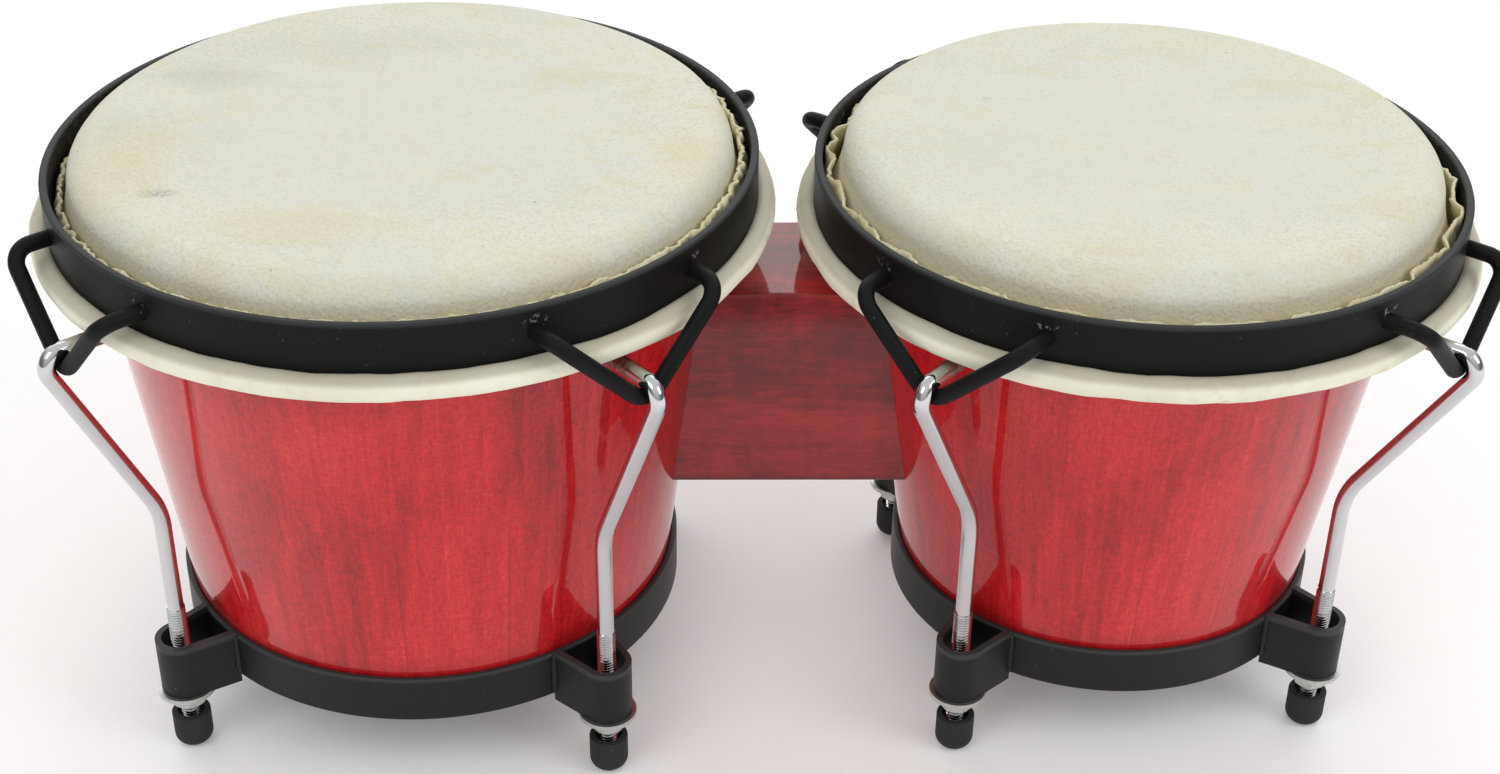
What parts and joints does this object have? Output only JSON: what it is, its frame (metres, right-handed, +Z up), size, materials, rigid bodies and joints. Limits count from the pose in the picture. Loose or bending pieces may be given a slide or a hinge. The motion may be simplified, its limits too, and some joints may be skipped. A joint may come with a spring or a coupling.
{
  "type": "bongo drums",
  "caption": "Pair of tapered wooden hand drums joined by a block, with rawhide heads pulled down by hooked tension rods that end in rubber feet.",
  "frame": {"origin": "floor level, midway along the pair's overall length and width", "axes": "+X from the larger drum to the smaller one, +Y away from the player's front, +Z up"},
  "size_m": [0.4546, 0.232, 0.1958],
  "materials": {
    "stained_wood": "cherry-red stain under clear gloss lacquer",
    "block_wood": "darker cherry-red stain, satin-gloss",
    "rawhide": "cream rawhide, matt",
    "black_steel": "satin black powder coat",
    "chrome": "polished",
    "zinc": "zinc plated, dull",
    "rubber": "matt"
  },
  "bodies": {
    "frame": {"centre_block": "block_wood", "left_shell": "stained_wood", "left_base_ring": "black_steel", "left_lugs": "black_steel", "left_head": "rawhide", "left_washers": "zinc", "left_block_bolts": "zinc", "left_block_washers": "zinc", "right_shell": "stained_wood", "right_base_ring": "black_steel", "right_lugs": "black_steel", "right_head": "rawhide", "right_washers": "zinc", "right_block_bolts": "zinc", "right_block_washers": "zinc"},
    "left_rim_set": {"left_rim": "black_steel", "left_claws": "black_steel", "left_flesh_hoop": "zinc", "left_skin_wrap": "rawhide", "left_rod_front_outer": "chrome", "left_foot_front_outer": "rubber", "left_rod_front_inner": "chrome", "left_foot_front_inner": "rubber", "left_rod_back_inner": "chrome", "left_foot_back_inner": "rubber", "left_rod_back_outer": "chrome", "left_foot_back_outer": "rubber"},
    "left_nut_front_outer": {"left_nut_front_outer": "zinc"},
    "left_nut_front_inner": {"left_nut_front_inner": "zinc"},
    "left_nut_back_inner": {"left_nut_back_inner": "zinc"},
    "left_nut_back_outer": {"left_nut_back_outer": "zinc"},
    "right_rim_set": {"right_rim": "black_steel", "right_claws": "black_steel", "right_flesh_hoop": "zinc", "right_skin_wrap": "rawhide", "right_rod_front_outer": "chrome", "right_foot_front_outer": "rubber", "right_rod_front_inner": "chrome", "right_foot_front_inner": "rubber", "right_rod_back_inner": "chrome", "right_foot_back_inner": "rubber", "right_rod_back_outer": "chrome", "right_foot_back_outer": "rubber"},
    "right_nut_front_outer": {"right_nut_front_outer": "zinc"},
    "right_nut_front_inner": {"right_nut_front_inner": "zinc"},
    "right_nut_back_inner": {"right_nut_back_inner": "zinc"},
    "right_nut_back_outer": {"right_nut_back_outer": "zinc"}
  },
  "joints": [
    {"name": "left_tension", "type": "slide", "parent": "frame", "child": "left_rim_set", "axis": [0, 0, 1], "range_m": [-0.004, 0.003]},
    {"name": "left_nut_turn_front_outer", "type": "hinge", "parent": "frame", "child": "left_nut_front_outer", "pos_m": [-0.18682, -0.06221, 0.0194], "axis": [0, 0, 1], "range_deg": [-1100, 1460]},
    {"name": "left_nut_turn_front_inner", "type": "hinge", "parent": "frame", "child": "left_nut_front_inner", "pos_m": [-0.04914, -0.07547, 0.0194], "axis": [0, 0, 1], "range_deg": [-1100, 1460]},
    {"name": "left_nut_turn_back_inner", "type": "hinge", "parent": "frame", "child": "left_nut_back_inner", "pos_m": [-0.03589, 0.06221, 0.0194], "axis": [0, 0, 1], "range_deg": [-1100, 1460]},
    {"name": "left_nut_turn_back_outer", "type": "hinge", "parent": "frame", "child": "left_nut_back_outer", "pos_m": [-0.17356, 0.07547, 0.0194], "axis": [0, 0, 1], "range_deg": [-1100, 1460]},
    {"name": "right_tension", "type": "slide", "parent": "frame", "child": "right_rim_set", "axis": [0, 0, 1], "range_m": [-0.004, 0.003]},
    {"name": "right_nut_turn_front_outer", "type": "hinge", "parent": "frame", "child": "right_nut_front_outer", "pos_m": [0.18491, -0.05413, 0.0194], "axis": [0, 0, 1], "range_deg": [-1100, 1460]},
    {"name": "right_nut_turn_front_inner", "type": "hinge", "parent": "frame", "child": "right_nut_front_inner", "pos_m": [0.06512, -0.06567, 0.0194], "axis": [0, 0, 1], "range_deg": [-1100, 1460]},
    {"name": "right_nut_turn_back_inner", "type": "hinge", "parent": "frame", "child": "right_nut_back_inner", "pos_m": [0.05359, 0.05413, 0.0194], "axis": [0, 0, 1], "range_deg": [-1100, 1460]},
    {"name": "right_nut_turn_back_outer", "type": "hinge", "parent": "frame", "child": "right_nut_back_outer", "pos_m": [0.17338, 0.06567, 0.0194], "axis": [0, 0, 1], "range_deg": [-1100, 1460]}
  ],
  "couplings": [
    {"joint": "left_nut_turn_front_outer", "follows": "left_tension", "rad_per_m": -6283.2},
    {"joint": "left_nut_turn_front_inner", "follows": "left_tension", "rad_per_m": -6283.2},
    {"joint": "left_nut_turn_back_inner", "follows": "left_tension", "rad_per_m": -6283.2},
    {"joint": "left_nut_turn_back_outer", "follows": "left_tension", "rad_per_m": -6283.2},
    {"joint": "right_nut_turn_front_outer", "follows": "right_tension", "rad_per_m": -6283.2},
    {"joint": "right_nut_turn_front_inner", "follows": "right_tension", "rad_per_m": -6283.2},
    {"joint": "right_nut_turn_back_inner", "follows": "right_tension", "rad_per_m": -6283.2},
    {"joint": "right_nut_turn_back_outer", "follows": "right_tension", "rad_per_m": -6283.2}
  ]
}
